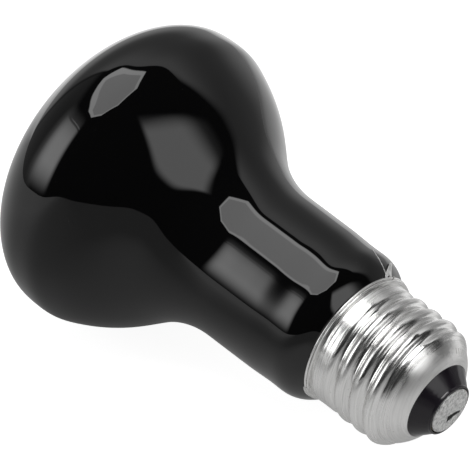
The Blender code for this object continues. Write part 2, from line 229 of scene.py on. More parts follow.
def aroundAxis(tree, position, turns, rise, pitch):
    # a vector that runs round the axis, so that noise on it is drawn out into streaks
    x, y, z = splitPlace(tree, position)
    squares = calc(tree, "ADD", calc(tree, "MULTIPLY", x, x), calc(tree, "MULTIPLY", y, y))
    radius = calc(tree, "SQRT", squares)
    climb = calc(tree, "MULTIPLY", calc(tree, "ARCTAN2", y, x), pitch / math.tau)
    joined = tree.nodes.new("ShaderNodeCombineXYZ")
    put(tree, joined.inputs[0], calc(tree, "MULTIPLY", calc(tree, "DIVIDE", x, radius), turns))
    put(tree, joined.inputs[1], calc(tree, "MULTIPLY", calc(tree, "DIVIDE", y, radius), turns))
    put(tree, joined.inputs[2], calc(tree, "MULTIPLY", calc(tree, "SUBTRACT", z, climb), rise))
    return joined.outputs[0]


def streaksAround(tree, position, streaks, pitch):
    # streaks: lengths of noise round the axis and up it, detail, roughness
    turns, rise, detail, roughness = streaks
    return noiseAt(tree, aroundAxis(tree, position, turns, rise, pitch), 1.0, detail, roughness)


# camera: the photograph's long lens, from the cap's side and above
photoCamera = {
    "place": (0.4472507, -0.4865773, 0.3850266), "down": 28.2986, "turn": 42.9128,
    "focalPixels": 4000, "widthPixels": 470, "sensor": 36, "near": 0.01, "far": 20,
}


def addCamera(settings):
    data = bpy.data.cameras.new("photoCamera")
    data.lens = settings["focalPixels"] / settings["widthPixels"] * settings["sensor"]
    data.sensor_width = settings["sensor"]
    data.clip_start = settings["near"]
    data.clip_end = settings["far"]
    camera = bpy.data.objects.new("photoCamera", data)
    bpy.context.scene.collection.objects.link(camera)
    camera.location = settings["place"]
    camera.rotation_euler = (math.radians(90 - settings["down"]), 0, math.radians(settings["turn"]))
    bpy.context.scene.camera = camera


addCamera(photoCamera)
bpy.context.scene.view_settings.view_transform = "Standard"
print("camera set")

# studio: panels seen as places in the sky round the lamp. u runs to the right and v up,
# as tangents from the panel's own direction, and an edge (a, b, limit, softness) keeps
# the side where a * u + b * v is less than limit. A later panel covers the ones before it
octagon = [(1, 0), (1, 1), (0, 1), (-1, 1), (-1, 0), (-1, -1), (0, -1), (1, -1)]


def octagonEdges(middle, half, softness):
    edges = []
    for a, b in octagon:
        reach = half * (math.sqrt(2) if a and b else 1)
        edges.append((a, b, a * middle[0] + b * middle[1] + reach, softness))
    return edges


backdropEdges = [(1, 0, 1.9, 0.4), (-1, 0, 1.6, 0.15), (0, 1, 3.0, 0.08)]
studioPanels = [
    {"name": "backdrop", "azimuth": 113, "height": 0, "strength": 0.30, "edges": backdropEdges},
    {"name": "backdrop, lit from above", "azimuth": 113, "height": 0, "strength": 0.85,
     "edges": backdropEdges + [(0, -1, -1.55, 0.95)]},
    {"name": "backdrop, foot", "azimuth": 113, "height": 0, "strength": 0.6,
     "edges": [(1, 0, 0.5, 0.3), (-1, 0, 1.6, 0.15), (0, 1, 0.35, 0.2)]},
    {"name": "left wall", "azimuth": -165, "height": 0, "strength": 0.19,
     "edges": [(1, 0, 0.4, 0.06), (-1, 0, 0.7, 0.1), (0, 1, 1.3, 0.3)]},
    {"name": "left spill", "azimuth": -120, "height": 0, "strength": 0.85,
     "edges": [(-1, 0, 0.195, 0.1), (1, 0, 0.45, 0.25), (0, 1, 1.12, 0.3), (0, -1, -0.1, 0.15)]},
    {"name": "left box", "azimuth": -120, "height": 0, "strength": 3.4,
     "edges": [(-1, 0, 0.185, 0.1), (1, 0, 0.22, 0.2), (0, 1, 0.98, 0.38), (0, 1, 1.0, 0.02),
               (0, -1, -0.16, 0.2)]},
    {"name": "left box, frame", "azimuth": -120, "height": 0, "strength": 1.8,
     "edges": [(-1, 0, 0.195, 0.05), (1, 0, 0.1, 0.1), (0, 1, 1.07, 0.008), (0, -1, -1.045, 0.008)]},
    {"name": "right spill", "azimuth": 0, "height": 0, "strength": 0.3,
     "edges": [(1, 0, 0.37, 0.06), (-1, 0, 0.62, 0.2), (-0.6, 1, 1.15, 0.12), (0, -1, -0.32, 0.05)]},
    {"name": "right box", "azimuth": 0, "height": 0, "strength": 1.95,
     "edges": [(1, 0, 0.35, 0.06), (-1, 0, 0.38, 0.2), (-0.35, 1, 1.0, 0.2), (0, -1, -0.27, 0.035)]},
    {"name": "overhead box", "azimuth": 100, "height": 75, "strength": 4.0,
     "edges": octagonEdges((-0.12, 0.55), 0.5, 0.012) + [(-1, 0, 0.51, 0.012)]},
    {"name": "overhead box, inner sheet", "azimuth": 100, "height": 75, "strength": 2.65,
     "edges": octagonEdges((-0.09, 0.56), 0.43, 0.008) + [(-1, 0, 0.42, 0.008)]},
]
room = {"dark": 0.027, "leastAhead": 0.001, "cameraWhite": 1.0}


def panelInSky(tree, direction, panel):
    # 1 inside the panel and 0 outside it
    azimuth, height = math.radians(panel["azimuth"]), math.radians(panel["height"])
    level = math.cos(height)
    forward = Vector((level * math.cos(azimuth), level * math.sin(azimuth), math.sin(height)))
    side = Vector((math.sin(azimuth), -math.cos(azimuth), 0))
    parts = []
    for axis in (forward, side, side.cross(forward)):
        dot = tree.nodes.new("ShaderNodeVectorMath")
        dot.operation = "DOT_PRODUCT"
        tree.links.new(direction, dot.inputs[0])
        dot.inputs[1].default_value = axis
        parts.append(dot.outputs["Value"])
    ahead = calc(tree, "MAXIMUM", parts[0], room["leastAhead"])
    u = calc(tree, "DIVIDE", parts[1], ahead)
    v = calc(tree, "DIVIDE", parts[2], ahead)
    share = calc(tree, "GREATER_THAN", parts[0], room["leastAhead"])
    for a, b, limit, softness in panel["edges"]:
        value = calc(tree, "MULTIPLY_ADD", u, a, calc(tree, "MULTIPLY", v, b))
        inside = spread(tree, value, limit - softness, limit + softness, 1, 0, True)
        share = calc(tree, "MULTIPLY", share, inside)
    return share


def lightStudio():
    world = bpy.data.worlds.new("softStudio")
    bpy.context.scene.world = world
    world.use_nodes = True
    tree = world.node_tree
    background = tree.nodes["Background"]
    direction = tree.nodes.new("ShaderNodeTexCoord").outputs["Generated"]
    level = room["dark"]
    for panel in studioPanels:
        share = panelInSky(tree, direction, panel)
        level = calc(tree, "MULTIPLY_ADD", share, calc(tree, "SUBTRACT", panel["strength"], level), level)
    # the camera itself sees white all round
    seen = tree.nodes.new("ShaderNodeLightPath").outputs["Is Camera Ray"]
    level = calc(tree, "MULTIPLY_ADD", seen, calc(tree, "SUBTRACT", room["cameraWhite"], level), level)
    tree.links.new(level, background.inputs["Strength"])
    background.inputs["Color"].default_value = (1, 1, 1, 1)
    print("studio set:", "; ".join(panel["name"] for panel in studioPanels))


lightStudio()

# floor: a plain pale table that looks white to the camera. The shines are painted light, a glow that only
# metal and glass see of it, and the places and distances are in metres
table = {
    "radius": 1.55, "corners": 96, "middle": (-0.87, 0.5, 0),
    "colour": (0.35, 0.35, 0.35, 1), "roughness": 0.7, "specular": 0.1, "glow": 0.94,
    "leftShine": 0.40, "leftStart": 0.0, "leftFull": 0.16, "leftSlant": -0.25,
    "backShine": 0.64, "backStart": 0.03, "backFull": 0.13,
    "farFade": 0.35, "farStart": 0.2, "farEnd": 0.9,
    "capShine": 0.31, "capPlace": (0.042, -0.01, 0), "capNear": 0.03, "capFar": 0.085,
}


def paintedTableLight(tree, settings):
    # painted light: lighter toward the left box, the backdrop and the bright cap, as if their light fell on
    # the table there
    position = tree.nodes.new("ShaderNodeNewGeometry").outputs["Position"]
    x, y, _ = splitPlace(tree, position)
    toLeft = calc(tree, "MULTIPLY_ADD", y, settings["leftSlant"], calc(tree, "MULTIPLY", x, -1))
    left = spread(tree, toLeft, settings["leftStart"], settings["leftFull"], 0, settings["leftShine"], True)
    back = spread(tree, y, settings["backStart"], settings["backFull"], 0, settings["backShine"], True)
    far = spread(tree, y, settings["farStart"], settings["farEnd"], 0, settings["farFade"], True)
    back = calc(tree, "SUBTRACT", back, far)
    reach = distanceTo(tree, position, settings["capPlace"])
    bright = spread(tree, reach, settings["capNear"], settings["capFar"], settings["capShine"], 0, True)
    return calc(tree, "ADD", calc(tree, "ADD", left, back), bright)


def addTable(settings):
    bpy.ops.object.select_all(action="DESELECT")
    bpy.ops.mesh.primitive_circle_add(vertices=settings["corners"], radius=settings["radius"],
                                      fill_type="NGON", location=settings["middle"])
    floor = bpy.context.object
    floor.name = "tableTop"
    material, tree, shader = newMaterial("paleTable")
    shader.inputs["Roughness"].default_value = settings["roughness"]
    shader.inputs["Specular IOR Level"].default_value = settings["specular"]
    shader.inputs["Base Color"].default_value = settings["colour"]
    path = tree.nodes.new("ShaderNodeLightPath")
    inGloss = calc(tree, "MAXIMUM", path.outputs["Is Glossy Ray"], path.outputs["Is Transmission Ray"])
    glow = calc(tree, "MULTIPLY", path.outputs["Is Camera Ray"], settings["glow"])
    # metal and glass see the painted light on the table as a glow
    glow = calc(tree, "MULTIPLY_ADD", inGloss, paintedTableLight(tree, settings), glow)
    shader.inputs["Emission Color"].default_value = (1, 1, 1, 1)
    tree.links.new(glow, shader.inputs["Emission Strength"])
    floor.data.materials.append(material)
    print("table set")


addTable(table)

# the blown glass bulb, in millimetres up from the contact. The neck's wave is (radius, height)
blownGlass = {
    "length": 100.0, "headRadius": 31.5, "domeHeight": 17.4, "beltHeight": 2.6, "kneeRadius": 6.0,
    "bowlRadius": 38.0, "bowlTop": 19.0, "bowlFoot": 40.4, "filletRadius": 20.5,
    "neckTopRadius": 16.08, "neckFootRadius": 15.8, "bendRadius": 7.0, "bendAngle": 38.0,
    "neckWave": [(15.78, 31.2), (15.78, 33.0), (15.98, 37.2), (16.02, 40.5)],
    "rimHeight": 24.0, "rimRadius": 13.2, "tuckAngle": 50.0,
    "sealRadius": 9.9, "sealHeight": 12.03, "lipRadius": 1.1,
    "flareDepth": 5.0, "flareRadius": 4.6, "exhaustRadius": 2.3, "exhaustLength": 8.4,
    "corners": {"tip": 8, "lip": 10, "bend": 16, "fillet": 24, "bowl": 24, "knee": 12, "dome": 60},
    "steps": 144, "cornerStep": 0.6, "sharpAngle": 50,
    "softening": 8, "headSoftening": 60, "headFoot": 44.0, "softenFactors": (0.5, -0.52),
}
blackGlassFinish = {
    "smears": (0.06, 4, 0.6, 0.5), "smearEnds": (0.3, 0.8), "roughness": (0.015, 0.045),
    "colours": ((0.0010, 0.0010, 0.0011, 1), (0.0018, 0.0018, 0.0020, 1)),
    "specks": (2.2, 2, 0.5), "speckEnds": (0.74, 0.80), "speckColour": (0.02, 0.02, 0.02, 1),
    "speckRoughness": 0.15, "ripple": (0.09, 1, 0.4), "rippleDepth": 0.02, "ior": 1.5,
}


def evenCorners(points, step):
    # the same line with its corners a step apart
    lengths = [math.dist(a, b) for a, b in zip(points, points[1:])]
    total = sum(lengths)
    count = max(2, round(total / step))
    made, index, done = [], 0, 0.0
    for number in range(count + 1):
        target = total * number / count
        while index < len(lengths) - 1 and done + lengths[index] < target:
            done += lengths[index]
            index += 1
        share = min(1.0, (target - done) / lengths[index])
        (r0, z0), (r1, z1) = points[index], points[index + 1]
        made.append((r0 + (r1 - r0) * share, z0 + (z1 - z0) * share))
    return made


def softenLine(points, passes, factors):
    # in and out again, so that the line loses its sudden bends and keeps its size
    for number in range(passes * 2):
        factor = factors[number % 2]
        moved = [points[0]]
        for before, here, after in zip(points, points[1:], points[2:]):
            moved.append(tuple(h + factor * ((b + a) / 2 - h) for b, h, a in zip(before, here, after)))
        points = moved + [points[-1]]
    return points


def hiddenOutline(glass):
    # the exhaust tip, the flare and the fused lip, inside the cap
    flareTop = glass["sealHeight"] + glass["flareDepth"]
    tip = flareTop - glass["exhaustLength"]
    exhaust = glass["exhaustRadius"]
    points = arcPoints((0, tip + exhaust), exhaust, -90, 0, glass["corners"]["tip"])
    points += [(exhaust, flareTop), (glass["flareRadius"], flareTop)]
    lip = (glass["sealRadius"] - glass["lipRadius"], glass["sealHeight"] + glass["lipRadius"])
    points += arcPoints(lip, glass["lipRadius"], -180, 0, glass["corners"]["lip"])
    tuck = (glass["rimRadius"] - glass["sealRadius"]) / math.tan(math.radians(glass["tuckAngle"]))
    points.append((glass["sealRadius"], glass["rimHeight"] - tuck))
    return points


def neckOutline(glass):
    # out from the rim of the cap and up the neck, which isn't quite straight
    bend, lean = glass["bendRadius"], math.radians(glass["bendAngle"])
    bendStart = glass["neckFootRadius"] - bend * (1 - math.cos(lean))
    startHeight = glass["rimHeight"] + (bendStart - glass["rimRadius"]) / math.tan(lean)
    centre = (glass["neckFootRadius"] - bend, startHeight + bend * math.sin(lean))
    points = [(glass["rimRadius"], glass["rimHeight"])]
    points += arcPoints(centre, bend, -glass["bendAngle"], 0, glass["corners"]["bend"])
    return points + glass["neckWave"]


def headOutline(glass):
    # the centres are worked down from the dome's foot: knee, bowl, then the fillet at the neck
    corners = glass["corners"]
    top, foot = math.radians(glass["bowlTop"]), math.radians(glass["bowlFoot"])
    bowlRadius, filletRadius = glass["bowlRadius"], glass["filletRadius"]
    domeFoot = glass["length"] - glass["domeHeight"]
    knee = (glass["headRadius"] - glass["kneeRadius"], domeFoot - glass["beltHeight"])
    kneeFoot = arcPoints(knee, glass["kneeRadius"], -glass["bowlTop"], 0, 1)[0]
    bowl = (kneeFoot[0] - bowlRadius * math.cos(top), kneeFoot[1] + bowlRadius * math.sin(top))
    bowlFoot = arcPoints(bowl, bowlRadius, -glass["bowlFoot"], 0, 1)[0]
    rise = filletRadius * (1 - math.cos(foot))
    coneHeight = (bowlFoot[0] - glass["neckTopRadius"] - rise) / math.tan(foot)
    filletFoot = bowlFoot[1] - coneHeight - filletRadius * math.sin(foot)
    fillet = (glass["neckTopRadius"] + filletRadius, filletFoot)
    points = arcPoints(fillet, filletRadius, 180, 180 - glass["bowlFoot"], corners["fillet"])
    points += arcPoints(bowl, bowlRadius, -glass["bowlFoot"], -glass["bowlTop"], corners["bowl"])
    points += arcPoints(knee, glass["kneeRadius"], -glass["bowlTop"], 0, corners["knee"])[1:]
    for index in range(1, corners["dome"] + 1):
        angle = math.pi / 2 * index / corners["dome"]
        height = domeFoot + glass["domeHeight"] * math.sin(angle)
        points.append((glass["headRadius"] * math.cos(angle), height))
    return points


def bulbOutline(glass):
    shown = evenCorners(neckOutline(glass) + headOutline(glass), glass["cornerStep"])
    shown = softenLine(shown, glass["softening"], glass["softenFactors"])
    # the head is softer than the neck
    foot = sum(1 for radius, height in shown if height < glass["headFoot"])
    shown[foot:] = softenLine(shown[foot:], glass["headSoftening"], glass["softenFactors"])
    shown[-1] = (0.0, glass["length"])
    return hiddenOutline(glass) + shown


def blackGlassMaterial(finish):
    material, tree, shader = newMaterial("blackGlass")
    position = lampPosition(tree)
    smears = noiseAt(tree, position, *finish["smears"])
    specks = spread(tree, noiseAt(tree, position, *finish["specks"]), *finish["speckEnds"])
    colour = blendColour(tree, smears, *finish["colours"])
    put(tree, shader.inputs["Base Color"], blendColour(tree, specks, colour, finish["speckColour"]))
    rough = spread(tree, smears, *finish["smearEnds"], *finish["roughness"])
    rough = calc(tree, "MULTIPLY_ADD", specks, finish["speckRoughness"], rough)
    put(tree, shader.inputs["Roughness"], rough)
    shader.inputs["IOR"].default_value = finish["ior"]
    ripple = noiseAt(tree, position, *finish["ripple"])
    put(tree, shader.inputs["Normal"], bumpFrom(tree, ripple, finish["rippleDepth"]))
    return material


def makeBulb(glass):
    bulb = turnOutline("blownBulb", bulbOutline(glass), glass["steps"])
    finishPiece(bulb, "glass_bulb", blackGlassMaterial(blackGlassFinish), glass["sharpAngle"])


makeBulb(blownGlass)

# the screw shell, rolled from thin bright sheet. Angles are in degrees round the axis
screwCap = {
    "height": 24.0, "wall": 0.3, "steps": 240, "rowStep": 0.2, "insideStep": 0.5, "sharpAngle": 50,
    # thread. It runs out early over a turn of (start, length) on the side seen and on the far side
    "pitch": 3.629, "rootRadius": 12.1, "depth": 1.05, "crestHeight": 13.75, "crestShare": 0.63,
    "threadStart": 5.9, "startFade": 3.3, "endFade": 2.2,
    "runOutDepth": 2.3, "runOutSeen": (60.0, 50.0), "runOutFar": (100.0, 70.0),
    # shoulder, with the length that sets its corners, and the hole for the insulator
    "shoulderTop": 7.8, "shoulderBulge": 0.5, "shoulderLength": 6.0,
    "holeRadius": 7.85, "holeHeight": 3.55,
    # skirt, crease and rolled edge. The lip's inner edge is (outward, down) from its top
    "skirtDepth": 2.6, "skirtRadius": 12.95, "skirtBlend": 1.8,
    "creaseRadius": 13.0, "creaseHeight": 22.92, "creaseRows": 8,
    "lipRoll": (13.66, 23.76), "secondRoll": (13.5, 23.24), "rollRadius": 0.24, "grooveRadius": 13.42,
    "secondEnds": (-115, 80), "lipEnds": (-80, 90), "rollCorners": 9,
    "lipInside": 13.35, "lipEdge": [(0.06, 0.01), (0.0, 0.08), (-0.05, 0.4), (-0.23, 0.85)],
    # the stretch of the rim that is lifted and pushed in against the glass
    "pressFoot": 22.3, "pressFade": 0.9, "pressRise": 0.38, "pressDepth": 0.65,
    "riseEnds": (112.0, 148.0), "riseFades": (1.8, 14.0),
    "pushEnds": (118.0, 160.0), "pushFades": (26.0, 22.0), "glassGap": 0.03, "gapFoot": -0.6,
    # dents of handling, the stain, and the roller's ticks
    "dent": 0.035, "dentScale": 0.3, "dentFade": 1.0,
    "stainPlace": (10.61, 0.93, 5.66), "stainReach": (0.9, 2.6),
    "tickPlace": 24.8, "tickGap": 5.5, "tickHalf": (0.10, 0.18), "tickShade": 0.85,
    "tickEnds": (22.0, 44.0), "tickEndSoft": 0.5, "tickHeights": (4.65, 5.4), "tickHeightSoft": 0.12,
}
aluminiumFinish = {
    "broad": (0.8, 1.5, 3, 0.5), "fine": (1.3, 3.8, 3, 0.6), "thin": (0.9, 7.5, 2, 0.6),
    "cloud": (0.16, 3, 0.5), "specks": (1.6, 2, 0.5), "stain": (0.7, 4, 0.6),
    "colours": ((0.74, 0.737, 0.728, 1), (0.87, 0.866, 0.857, 1)), "fineEnds": (0.35, 0.65),
    "streakColour": (0.34, 0.335, 0.325, 1), "streakSpread": (0.55, 0.66, 0.0, 0.4),
    "stainColour": (0.40, 0.40, 0.395, 1), "stainRagged": (0.3, 0.7, -1.2, 1.2), "stainShade": 0.55,
    "markColour": (0.40, 0.39, 0.37, 1), "speckEnds": (0.70, 0.76), "speckShade": 0.5,
    # the shoulder and the skirt keep more of the sheet's dull skin than the rolled thread
    "shoulderFoot": -3.0, "shoulderHead": 1.5, "shoulderPlain": -0.85, "shoulderRough": 0.15,
    "skirtRise": 2.0, "skirtRough": 0.05,
    "dullSpread": (0.38, 0.62, 0.13, 0.26), "fineRough": (-0.03, 0.07),
    "cloudDepth": 0.12, "broadDepth": 0.07, "fineDepth": 0.012, "thinDepth": 0.005,
}


def runOut(cap, angle):
    # how much earlier than elsewhere the thread ends here
    turn = -math.degrees(angle)
    share = max(smoothRise(turn, *cap["runOutSeen"]), smoothRise(-turn, *cap["runOutFar"]))
    return cap["runOutDepth"] * share


def threadLift(cap, height, angle):
    # a wide arc over the crest runs into a tighter one in the root
    half = cap["pitch"] / 2
    both = (half ** 2 + cap["depth"] ** 2) / (2 * cap["depth"])
    crestBend, rootBend = both * cap["crestShare"], both * (1 - cap["crestShare"])
    turns = (height - cap["crestHeight"]) / cap["pitch"] - angle / math.tau
    along = abs(turns - round(turns)) * cap["pitch"]
    if along < half * cap["crestShare"]:
        lift = cap["depth"] - crestBend + math.sqrt(crestBend ** 2 - along ** 2)
    else:
        lift = rootBend - math.sqrt(rootBend ** 2 - (half - along) ** 2)
    end = cap["height"] - cap["skirtDepth"] - cap["endFade"] - runOut(cap, angle)
    lift *= smoothRise(height, cap["threadStart"], cap["startFade"])
    return lift * (1 - smoothRise(height, end, cap["endFade"]))


def skirtLift(cap, height, angle):
    # where the thread runs out early the skirt comes down lower
    start = cap["height"] - cap["skirtDepth"] - cap["skirtBlend"]
    early = smoothRise(height, start - runOut(cap, angle), cap["skirtBlend"])
    return (cap["skirtRadius"] - cap["rootRadius"]) * (early - smoothRise(height, start, cap["skirtBlend"]))


def shoulderPoints(cap, inset, startRadius, endRadius, count):
    # one bulging arc from the hole to the thread's root
    run, rise = cap["rootRadius"] - cap["holeRadius"], cap["shoulderTop"] - cap["holeHeight"]
    chord = math.hypot(run, rise)
    bend = ((chord / 2) ** 2 + cap["shoulderBulge"] ** 2) / (2 * cap["shoulderBulge"])
    back = (bend - cap["shoulderBulge"]) / chord
    centre = (cap["holeRadius"] + run / 2 - rise * back, cap["holeHeight"] + rise / 2 + run * back)
    start = -math.degrees(math.acos((startRadius - centre[0]) / (bend - inset)))
    end = -math.degrees(math.acos((endRadius - centre[0]) / (bend - inset)))
    return arcPoints(centre, bend - inset, start, end, count)


def shellFace(cap, inset, step):
    # one face of the sheet, from the hole up to the crease, before the thread is rolled
    count = round(cap["shoulderLength"] / step)
    points = shoulderPoints(cap, inset, cap["holeRadius"], cap["rootRadius"] - inset, count)
    low, high = cap["shoulderTop"], cap["height"] - cap["skirtDepth"]
    rows = round((high - low) / step)
    for row in range(1, rows + 1):
        height = low + (high - low) * row / rows
        share = smoothRise(height, high - cap["skirtBlend"], cap["skirtBlend"])
        points.append((cap["rootRadius"] + (cap["skirtRadius"] - cap["rootRadius"]) * share - inset, height))
    for row in range(1, cap["creaseRows"] + 1):
        share = row / cap["creaseRows"]
        radius = cap["skirtRadius"] + (cap["creaseRadius"] - cap["skirtRadius"]) * smoothRise(share, 0, 1)
        points.append((radius - inset, high + (cap["creaseHeight"] - high) * share))
    return points


def rimPoints(cap):
    # the edge is rolled twice, a bright lip over a second roll, and ends against the glass
    points = arcPoints(cap["secondRoll"], cap["rollRadius"], *cap["secondEnds"], cap["rollCorners"])
    points.append((cap["grooveRadius"], (cap["secondRoll"][1] + cap["lipRoll"][1]) / 2))
    points += arcPoints(cap["lipRoll"], cap["rollRadius"], *cap["lipEnds"], cap["rollCorners"])
    return points + [(cap["lipInside"] + out, cap["height"] - down) for out, down in cap["lipEdge"]]


def pressRim(cap, glass, radius, height, angle):
    turn = -math.degrees(angle)
    share = smoothRise(height, cap["pressFoot"], cap["pressFade"])
    shares = []
    for (start, end), (startFade, endFade) in ((cap["riseEnds"], cap["riseFades"]),
                                               (cap["pushEnds"], cap["pushFades"])):
        shares.append(smoothRise(turn, start, startFade) * (1 - smoothRise(turn, end, endFade)))
    height += share * shares[0] * cap["pressRise"]
    radius -= share * shares[1] * cap["pressDepth"]
    # near the glass the rim stays just clear of it
    above = height - glass["rimHeight"]
    if above > cap["gapFoot"]:
        slope = glass["bendAngle"] if above > 0 else glass["tuckAngle"]
        clear = glass["rimRadius"] + cap["glassGap"] + above * math.tan(math.radians(slope))
        radius = max(radius, clear)
    return radius, height


def rollerTicks(tree, cap, position):
    # a short row of small strokes that the roller left on the shoulder
    x, y, height = splitPlace(tree, position)
    degrees = calc(tree, "DEGREES", calc(tree, "ARCTAN2", y, x))
    step = calc(tree, "DIVIDE", calc(tree, "SUBTRACT", degrees, cap["tickPlace"]), cap["tickGap"])
    off = calc(tree, "ABSOLUTE", calc(tree, "SUBTRACT", step, calc(tree, "ROUND", step)))
    share = spread(tree, off, *cap["tickHalf"], cap["tickShade"], 0.0, True)
    share = calc(tree, "MULTIPLY", share, within(tree, degrees, cap["tickEnds"], cap["tickEndSoft"]))
    return calc(tree, "MULTIPLY", share, within(tree, height, cap["tickHeights"], cap["tickHeightSoft"]))


def stainShare(tree, cap, finish, position):
    # one ragged grey stain near the insulator
    ragged = spread(tree, noiseAt(tree, position, *finish["stain"]), *finish["stainRagged"])
    away = calc(tree, "ADD", distanceTo(tree, position, cap["stainPlace"]), ragged)
    return spread(tree, away, *cap["stainReach"], finish["stainShade"], 0.0, True)


def aluminiumMaterial(cap, finish):
    # rolling leaves bright and dull lines that follow the thread
    material, tree, shader = newMaterial("rolledAluminium")
    position = lampPosition(tree)
    broad = streaksAround(tree, position, finish["broad"], cap["pitch"])
    fine = streaksAround(tree, position, finish["fine"], cap["pitch"])
    thin = streaksAround(tree, position, finish["thin"], cap["pitch"])
    cloud = noiseAt(tree, position, *finish["cloud"])
    height = splitPlace(tree, position)[2]
    shoulder = spread(tree, height, cap["threadStart"] + finish["shoulderHead"],
                      cap["shoulderTop"] + finish["shoulderFoot"], 0.0, 1.0, True)
    skirtFoot = cap["height"] - cap["skirtDepth"]
    skirt = spread(tree, height, skirtFoot - finish["skirtRise"], skirtFoot, 0.0, finish["skirtRough"], True)
    lined = calc(tree, "MULTIPLY_ADD", shoulder, finish["shoulderPlain"], 1.0)
    # colour
    colour = blendColour(tree, spread(tree, fine, *finish["fineEnds"]), *finish["colours"])
    streaks = calc(tree, "MULTIPLY", spread(tree, thin, *finish["streakSpread"]), lined)
    colour = blendColour(tree, streaks, colour, finish["streakColour"])
    colour = blendColour(tree, stainShare(tree, cap, finish, position), colour, finish["stainColour"])
    specks = spread(tree, noiseAt(tree, position, *finish["specks"]), *finish["speckEnds"])
    specks = calc(tree, "MULTIPLY", specks, finish["speckShade"])
    marks = calc(tree, "MAXIMUM", specks, rollerTicks(tree, cap, position))
    put(tree, shader.inputs["Base Color"], blendColour(tree, marks, colour, finish["markColour"]))
    shader.inputs["Metallic"].default_value = 1.0
    # polish
    dull = calc(tree, "MULTIPLY_ADD", cloud, 0.5, calc(tree, "MULTIPLY", broad, 0.5))
    rough = spread(tree, dull, *finish["dullSpread"])
    rough = calc(tree, "ADD", rough, spread(tree, fine, *finish["fineEnds"], *finish["fineRough"]))
    skins = calc(tree, "MULTIPLY_ADD", shoulder, finish["shoulderRough"], skirt)
    put(tree, shader.inputs["Roughness"], calc(tree, "ADD", rough, skins))
    # relief
    relief = bumpFrom(tree, cloud, finish["cloudDepth"])
    for lines, depth in ((broad, "broadDepth"), (fine, "fineDepth"), (thin, "thinDepth")):
        relief = bumpFrom(tree, calc(tree, "MULTIPLY", lines, lined), finish[depth], relief)
    put(tree, shader.inputs["Normal"], relief)
    return material


def makeShell(cap, glass):
    outline = shellFace(cap, 0.0, cap["rowStep"]) + rimPoints(cap)
    outline += reversed(shellFace(cap, cap["wall"], cap["insideStep"]))
    shell = turnOutline("rolledShell", outline, cap["steps"], True)
    # roll the thread, and leave the small dents of handling
    for vert in shell.data.vertices:
        x, y, z = vert.co / mm
        radius, angle = math.hypot(x, y), math.atan2(y, x)
        share = smoothRise(radius, cap["holeRadius"], cap["dentFade"])
        lift = threadLift(cap, z, angle) + skirtLift(cap, z, angle)
        lift += share * cap["dent"] * noise.noise(Vector((x, y, z)) * cap["dentScale"])
        newRadius, newHeight = pressRim(cap, glass, radius + lift, z, angle)
        vert.co = (x * newRadius / radius * mm, y * newRadius / radius * mm, newHeight * mm)
    material = aluminiumMaterial(cap, aluminiumFinish)
    finishPiece(shell, "screw_shell", material, cap["sharpAngle"])


makeShell(screwCap, blownGlass)

# the pressed black glass insulator, with its collar round the contact
pressedInsulator = {
    "height": 3.55, "faceHeight": 0.3, "edgeRadius": 7.8, "flangeRadius": 10.2, "top": 6.9,
    "collarRadius": 5.35, "collarEdge": 0.24, "collarEnds": (-90, -8), "collarFoot": 0.85,
    "footRise": 0.1, "footFlare": (0.03, 0.12),
    "recess": 4.9, "recessFloor": 1.45, "recessEdge": 0.14, "recessEdgeFoot": 0.12, "bore": 1.4,
    "shellGap": 0.05, "edgeCorners": 4, "collarCorners": 6, "shoulderCorners": 8,
    "steps": 144, "sharpAngle": 30,
    # where the painted highlight lies on the collar, round the axis and in height
    "highlightEnds": (-37.0, -19.0), "highlightEndSoft": 1.5, "highlightHeights": (0.66, 0.80), "highlightHeightSoft": 0.04,
}
insulatorFinish = {
    "cloud": (0.35, 3, 0.5), "colours": ((0.011, 0.009, 0.0125, 1), (0.018, 0.0145, 0.020, 1)),
    # the pale colour on the next line is a painted highlight on the collar
    "highlightColour": (0.42, 0.41, 0.42, 1), "cloudEnds": (0.3, 0.7), "roughness": (0.08, 0.2),
    "ior": 1.5, "specular": 0.34, "pressed": (0.5, 3, 0.5), "pressedDepth": 0.05,
}


def insulatorMaterial(body, finish):
    material, tree, shader = newMaterial("pressedBlackGlass")
    position = lampPosition(tree)
    cloud = noiseAt(tree, position, *finish["cloud"])
    colour = blendColour(tree, cloud, *finish["colours"])
    # painted highlight: a short pale line on the foot of the collar, where its edge catches the light
    x, y, height = splitPlace(tree, position)
    degrees = calc(tree, "DEGREES", calc(tree, "ARCTAN2", y, x))
    paintedHighlight = calc(tree, "MULTIPLY", within(tree, degrees, body["highlightEnds"], body["highlightEndSoft"]),
                within(tree, height, body["highlightHeights"], body["highlightHeightSoft"]))
    put(tree, shader.inputs["Base Color"], blendColour(tree, paintedHighlight, colour, finish["highlightColour"]))
    rough = spread(tree, cloud, *finish["cloudEnds"], *finish["roughness"])
    put(tree, shader.inputs["Roughness"], rough)
    shader.inputs["IOR"].default_value = finish["ior"]
    shader.inputs["Specular IOR Level"].default_value = finish["specular"]
    pressed = noiseAt(tree, position, *finish["pressed"])
    put(tree, shader.inputs["Normal"], bumpFrom(tree, pressed, finish["pressedDepth"]))
    return material


def insulatorOutline(cap, body):
    # up out of the recess, over the collar, down the cone, under the shell and back by the bore
    face, bead, edge = body["faceHeight"], body["recessEdge"], body["collarEdge"]
    points = [(body["recess"], body["recessFloor"]), (body["recess"], face + body["recessEdgeFoot"])]
    points += arcPoints((body["recess"] + bead, face + bead), bead, 180, 270, body["edgeCorners"])[1:]
    collar = (body["collarRadius"] - edge, face + edge)
    points += arcPoints(collar, edge, *body["collarEnds"], body["collarCorners"])
    above, below = body["footFlare"]
    points.append((body["collarRadius"] + above, body["collarFoot"] - body["footRise"]))
    points.append((body["collarRadius"] + below, body["collarFoot"]))
    points.append((body["edgeRadius"], body["height"]))
    gap = body["shellGap"]
    points += shoulderPoints(cap, cap["wall"] + gap, cap["holeRadius"] - gap, body["flangeRadius"],
                             body["shoulderCorners"])
    points += [(body["flangeRadius"], body["top"]), (body["bore"], body["top"])]
    points.append((body["bore"], body["recessFloor"]))
    return points


